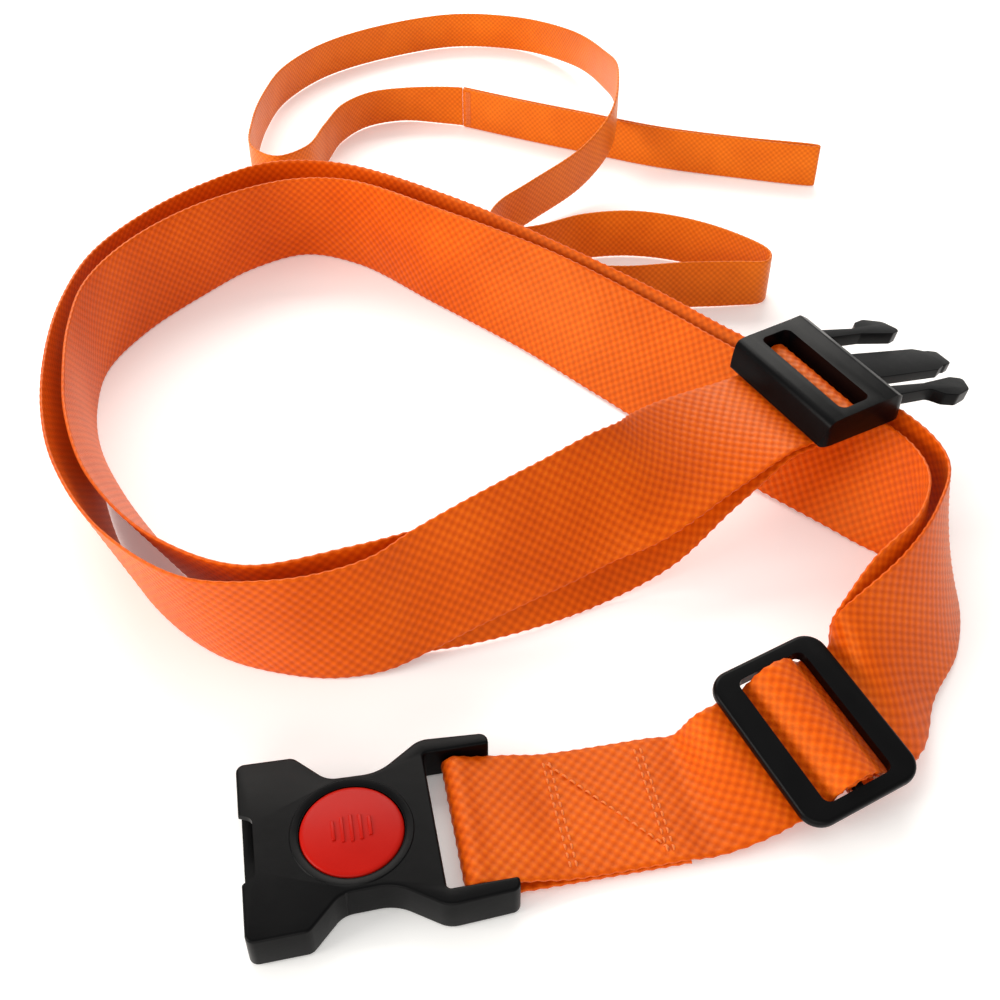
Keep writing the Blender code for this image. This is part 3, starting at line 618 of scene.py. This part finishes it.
loop_tack = bar_tack("loop_bar_tack", spine[0], spine[1], 4.0, 1.85, "tether_loop_tack")
joint_tack = bar_tack("joint_bar_tack", tail[-1], tail[-2], 4.0, -0.85, "tether_joint_tack")

# ------------------------------------------------------------------ moulded pieces


def filleted(corners, segments):
    """The outline's points, with an arc of its own radius at each corner."""
    points = []
    count = len(corners)
    for index, (x, y, radius) in enumerate(corners):
        here = Vector((x, y))
        before = (Vector(corners[index - 1][:2]) - here).normalized()
        after = (Vector(corners[(index + 1) % count][:2]) - here).normalized()
        half_angle = before.angle(after) / 2
        if radius <= 0 or abs(half_angle - math.pi / 2) < 1e-4:
            points.append(here)
            continue
        reach = radius / math.tan(half_angle)
        centre = here + (before + after).normalized() * (radius / math.sin(half_angle))
        start = here + before * reach - centre
        end = here + after * reach - centre
        sweep = start.angle_signed(end)
        for step in range(segments + 1):
            points.append(centre + Matrix.Rotation(-sweep * step / segments, 2) @ start)
    return points


def mirrored(half):
    """The whole outline from its +Y half."""
    return list(half) + [(x, -y, radius) for x, y, radius in reversed(half)]


def made(name, work):
    """An object from a finished bmesh."""
    mesh = bpy.data.meshes.new(name)
    work.to_mesh(mesh)
    work.free()
    return solid(name, mesh)


def plate(name, corners, low, high, segments=10):
    """An extruded outline in millimetres."""
    points = [p * MM for p in filleted(corners, segments)]
    work = bmesh.new()
    bottom = [work.verts.new((p.x, p.y, low * MM)) for p in points]
    face = work.faces.new(bottom)
    if face.normal.z > 0:
        face.normal_flip()
    raised = bmesh.ops.extrude_face_region(work, geom=[face])
    top = [v for v in raised["geom"] if isinstance(v, bmesh.types.BMVert)]
    bmesh.ops.translate(work, verts=top, vec=(0, 0, (high - low) * MM))
    bmesh.ops.recalc_face_normals(work, faces=work.faces)
    return made(name, work)


def box(name, low, high):
    work = bmesh.new()
    size = [(b - a) * MM for a, b in zip(low, high)]
    centre = Vector([(a + b) / 2 * MM for a, b in zip(low, high)])
    bmesh.ops.create_cube(work, size=1.0, matrix=Matrix.Translation(centre) @ Matrix.Diagonal((*size, 1.0)))
    return made(name, work)


def rod(name, start, end, radius, sides):
    start, end = Vector(start) * MM, Vector(end) * MM
    work = bmesh.new()
    turn = (end - start).to_track_quat("Z", "Y").to_matrix().to_4x4()
    bmesh.ops.create_cone(
        work, cap_ends=True, segments=sides, radius1=radius * MM, radius2=radius * MM,
        depth=(end - start).length, matrix=Matrix.Translation((start + end) / 2) @ turn,
    )
    return made(name, work)


def turned(name, profile):
    """A profile of (radius, height) turned round Z."""
    work = bmesh.new()
    line = [work.verts.new((r * MM, 0.0, z * MM)) for r, z in profile]
    edges = [work.edges.new(pair) for pair in zip(line[:-1], line[1:])]
    bmesh.ops.spin(
        work, geom=line + edges, cent=(0, 0, 0), axis=(0, 0, 1), angle=2 * math.pi, steps=TURNED_STEPS,
        use_merge=True,
    )
    bmesh.ops.remove_doubles(work, verts=work.verts, dist=2e-6)
    bmesh.ops.recalc_face_normals(work, faces=work.faces)
    return made(name, work)


def settle(obj):
    """The object's modifiers made real."""
    bpy.context.view_layer.update()
    mesh = bpy.data.meshes.new_from_object(obj.evaluated_get(bpy.context.evaluated_depsgraph_get()))
    obj.modifiers.clear()
    obj.data = mesh
    return obj


def bevelled(obj, width, segments=3, angle=30.0):
    modifier = obj.modifiers.new("edges", "BEVEL")
    modifier.width = width * MM
    modifier.segments = segments
    modifier.limit_method = "ANGLE"
    modifier.angle_limit = math.radians(angle)
    modifier.use_clamp_overlap = True
    return settle(obj)


def combine(obj, operation, others):
    """Boolean with each of the others in turn. The others are used up."""
    for other in others:
        modifier = obj.modifiers.new("cut", "BOOLEAN")
        modifier.operation = operation
        modifier.object = other
        modifier.solver = "EXACT"
    settle(obj)
    for other in others:
        bpy.data.objects.remove(other, do_unlink=True)
    return obj


def dress(obj, material, matrix=None):
    """Puts a moulding in place with its material, shading and slot."""
    if matrix is not None:
        obj.data.transform(matrix)
    obj.data.materials.clear()
    obj.data.materials.append(material)
    obj.data.polygons.foreach_set("material_index", np.zeros(len(obj.data.polygons), np.int32))
    obj.data.shade_smooth()
    obj.data.set_sharp_from_angle(angle=math.radians(SMOOTH_ANGLE))
    return obj


def socket():
    """Shell with a hollow, open mouth, button hole, raised ring, side grips and webbing bar."""
    half = (
        (-36, 33.5, 3), (-16.5, 33, 4), (-6, 22, 8), (11, 21.5, 16), (26.5, 32.5, 9), (50, 31, 3),
        (50, 26.3, 1), (27, 26.3, 1.5),
    )
    body = bevelled(plate("socket_shell", mirrored(half), 0, SOCKET_HEIGHT), 1.9, 5)
    hole_radius = BUTTON_RADIUS + 0.4
    ring = turned("raised_ring", [
        (hole_radius, 12), (20.3, 12), (20.3, 14.0), (20.0, 14.35), (18.1, 14.35), (17.6, 14.1),
        (hole_radius, 13.6), (hole_radius, 12),
    ])
    combine(body, "UNION", [ring])
    hollow = ((-40, 29.8, 0), (-17.5, 29.5, 3), (-7.5, 18.5, 5), (10, 18.5, 6), (16, 24, 3), (22.5, 25, 2))
    cavity = plate("cavity", mirrored(hollow), SOCKET_WALL, SOCKET_HEIGHT - SOCKET_WALL)
    hole = rod("hole", (0, 0, 7), (0, 0, 17), hole_radius, TURNED_STEPS)
    mouth = plate("mouth_notch", mirrored(((-40, 15, 0), (-31.5, 11, 3))), 11.0, 16, 6)
    combine(body, "DIFFERENCE", [cavity, hole, mouth])
    grooves = []
    for side in (-1, 1):
        for k in range(5):
            x = -4.0 + k * 3.0
            grooves.append(rod(f"grip_{side}_{k}", (x, side * 22.6, -1), (x, side * 22.6, 15), 0.75, 16))
    combine(body, "DIFFERENCE", grooves)
    bar = rod("bar", (BAR[0], -28.5, BAR[1]), (BAR[0], 28.5, BAR[1]), BAR_RADIUS, 40)
    combine(body, "UNION", [bar])
    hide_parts("socket_housing")
    return dress(body, black)


def button():
    """Domed cap with five grip ribs and two legs."""
    top = BUTTON_TOP
    dome = [(0, 1.2), (5, 1.15), (9, 0.9), (13, 0.5), (15.4, 0.22), (16.3, 0.05), (16.75, -0.25)]
    skirt = [(BUTTON_RADIUS, -0.8), (BUTTON_RADIUS, -3.2), (0, -3.2)]
    cap = turned("button_cap", [(r, top + z) for r, z in dome + skirt])
    ribs = []
    for k in range(5):
        x = (k - 2) * 3.0
        reach = (3.6, 4.7, 5.0, 4.7, 3.6)[k]
        rib = box(f"rib_{k}", (x - 0.6, -reach, top - 0.5), (x + 0.6, reach, top + 1.6))
        ribs.append(bevelled(rib, 0.32, 3))
    legs = [box(f"leg_{s}", (-4, s * 12.5 - 1.5, top - 7.4), (4, s * 12.5 + 1.5, top - 2.2)) for s in (-1, 1)]
    combine(cap, "UNION", ribs + legs)
    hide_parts("release_button")
    return dress(cap, red)


def male():
    """Frame with a sloping back, a webbing window, two joined bars and the centre tongue."""
    side_view = (
        (-20.5, -4.2, 1.2), (21.3, -4.2, 1.5), (22.8, 2.0, 2.0), (20.5, 7.0, 3.0), (16.5, 9.6, 2.5),
        (11.5, 9.2, 3.0), (-10.5, 8.4, 3.0), (-16.5, 7.8, 4.0),
    )
    body = plate("male_shell", side_view, -MALE_HALF_WIDTH, MALE_HALF_WIDTH, 12)
    body.data.transform(Matrix.Rotation(math.radians(90), 4, "X"))
    plan = plate("male_plan", mirrored(((-21.5, 30.99, 6.0), (23.8, 30.99, 7.0))), -20, 20, 16)
    combine(body, "INTERSECT", [plan])
    bevelled(body, 1.1, 4, 50)
    window = bevelled(
        plate("window", mirrored(((-8, 26.5, 3), (6.4, 26.5, 3))), -20, 20, 8), 0.01, 1, 80
    )
    combine(body, "DIFFERENCE", [window])
    blade = ((-3, 9.5, 0.3), (46, 8.5, 2.0), (51.5, 6.0, 1.0), (53.5, 6.0, 1.0), (58, 4.5, 1.5))
    tongue = bevelled(plate("tongue", mirrored(blade), -2.2, 2.2, 6), 0.7, 3)
    tongue.data.transform(Matrix.Translation(Vector((20.0, 0.0, -1.0)) * MM) @ DROOP)
    bars = [
        rod(f"male_bar_{k}", (x, -28.5, 0), (x, 28.5, 0), MALE_BAR_RADIUS, 40)
        for k, x in enumerate((-MALE_BAR_OFFSET, MALE_BAR_OFFSET))
    ]
    combine(body, "UNION", bars + [tongue])
    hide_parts("male_frame")
    return dress(body, black, MALE)


def prong(name, side):
    """A tapering arm with a hooked head, on the left (1) or the right (-1)."""
    corners = (
        (0, -3.0, 0.4), (0, 3.5, 0.4), (20, 2.5, 4), (24.5, 7.0, 3), (31, 8.8, 4), (41, 5.8, 4),
        (45, -2.0, 2), (38.5, -4.2, 3), (20, -2.2, 6),
    )
    corners = [(x, side * y, radius) for x, y, radius in corners]
    if side > 0:
        corners.reverse()
    arm = bevelled(plate(name + "_arm", corners, -PRONG_HALF_HEIGHT, PRONG_HALF_HEIGHT), 1.1, 4)
    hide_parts(name)
    root = Matrix.Translation(Vector((23.4, side * 21.8, 0.2)) * MM)
    return dress(arm, black, MALE @ root @ DROOP)


def adjuster():
    """Rounded frame with one window and the centre bar."""
    outline = mirrored(((-23.5, 32, 8), (23.5, 32, 8)))
    body = bevelled(plate("adjuster_shell", outline, -GLIDE_HALF_THICKNESS, GLIDE_HALF_THICKNESS), 1.7, 5)
    window = plate("window", mirrored(((-14, 26.2, 3), (14, 26.2, 3))), -20, 20, 8)
    combine(body, "DIFFERENCE", [window])
    combine(body, "UNION", [rod("glide_bar", (0, -28, 0), (0, 28, 0), 2.1, 40)])
    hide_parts("tri_glide")
    return dress(body, black, GLIDE)


socket_shell = socket()
button_cap = button()
male_shell = male()
left_prong = prong("prong_left", 1)
right_prong = prong("prong_right", -1)
adjuster_shell = adjuster()

# ------------------------------------------------------------------ what moves with what

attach(socket_shell, "socket")
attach(button_cap, "button")
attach(male_shell, "male")
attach(left_prong, "prong_left")
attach(right_prong, "prong_right")
for obj in (adjuster_shell, box_top, box_under, glide_seam, loop_tack, joint_tack, tether, hand_loop):
    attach(obj, "strap")
for name in ("strap_adjuster_run", "strap_outer_coil", "strap_inner_coil", "strap_fixed_end"):
    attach(pieces[name][0], "strap")
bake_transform(pieces["strap_socket_end"][0])
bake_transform(pieces["strap_buckle_wrap"][0])

# ------------------------------------------------------------------ floor, light, camera


def floor():
    """A pale sheet just under the object."""
    work = bmesh.new()
    bmesh.ops.create_grid(work, x_segments=1, y_segments=1, size=6.0)
    obj = made("floor", work)
    obj.location = (0, 1.0, -0.0006)
    m = Nodes("pale_floor")
    m.set("Base Color", (0.97, 0.965, 0.955, 1))
    m.set("Roughness", 0.85)
    m.set("Emission Color", (1.0, 0.99, 0.97, 1.0))
    m.set("Emission Strength", 0.16)
    m.set("Specular IOR Level", 0.2)
    obj.data.materials.append(m.material)


def area(name, place, target, size, power, colour):
    """A softbox turned to its target."""
    light = bpy.data.lights.new(name, "AREA")
    light.shape = "RECTANGLE"
    light.size, light.size_y = size
    light.energy = power
    light.color = colour
    obj = bpy.data.objects.new(name, light)
    obj.location = place
    obj.rotation_euler = (Vector(target) - Vector(place)).to_track_quat("-Z", "Y").to_euler()
    bpy.context.scene.collection.objects.link(obj)


floor()
for lamp, place, size, power, colour in (
    ("back_softbox", (0.10, 1.60, 1.25), (1.8, 1.0), 30, (1.0, 0.97, 0.92)),
    ("left_softbox", (-1.5, -0.1, 0.60), (1.0, 0.8), 20, (1.0, 0.97, 0.92)),
    ("top_softbox", (0.1, 0.2, 2.0), (2.0, 2.0), 3, (1.0, 1.0, 1.0)),
    ("front_softbox", (-0.5, -1.5, 0.55), (1.6, 0.8), 13, (1.0, 0.97, 0.93)),
):
    area(lamp, place, OBJECT_CENTRE, size, power, colour)
world = bpy.data.worlds.new("studio")
world.use_nodes = True
background = world.node_tree.nodes["Background"]
background.inputs["Color"].default_value = (1.0, 0.99, 0.97, 1)
background.inputs["Strength"].default_value = 0.62
bpy.context.scene.world = world
bpy.context.scene.view_settings.view_transform = "Standard"

lens = bpy.data.cameras.new("photo_camera")
lens.lens = LENS
lens.sensor_width = SENSOR
lens.clip_start = 0.01
camera = bpy.data.objects.new("photo_camera", lens)
camera.location = CAMERA_PLACE
camera.rotation_euler = (math.radians(CAMERA_TILT), 0.0, math.radians(CAMERA_HEADING))
bpy.context.scene.collection.objects.link(camera)
bpy.context.scene.camera = camera
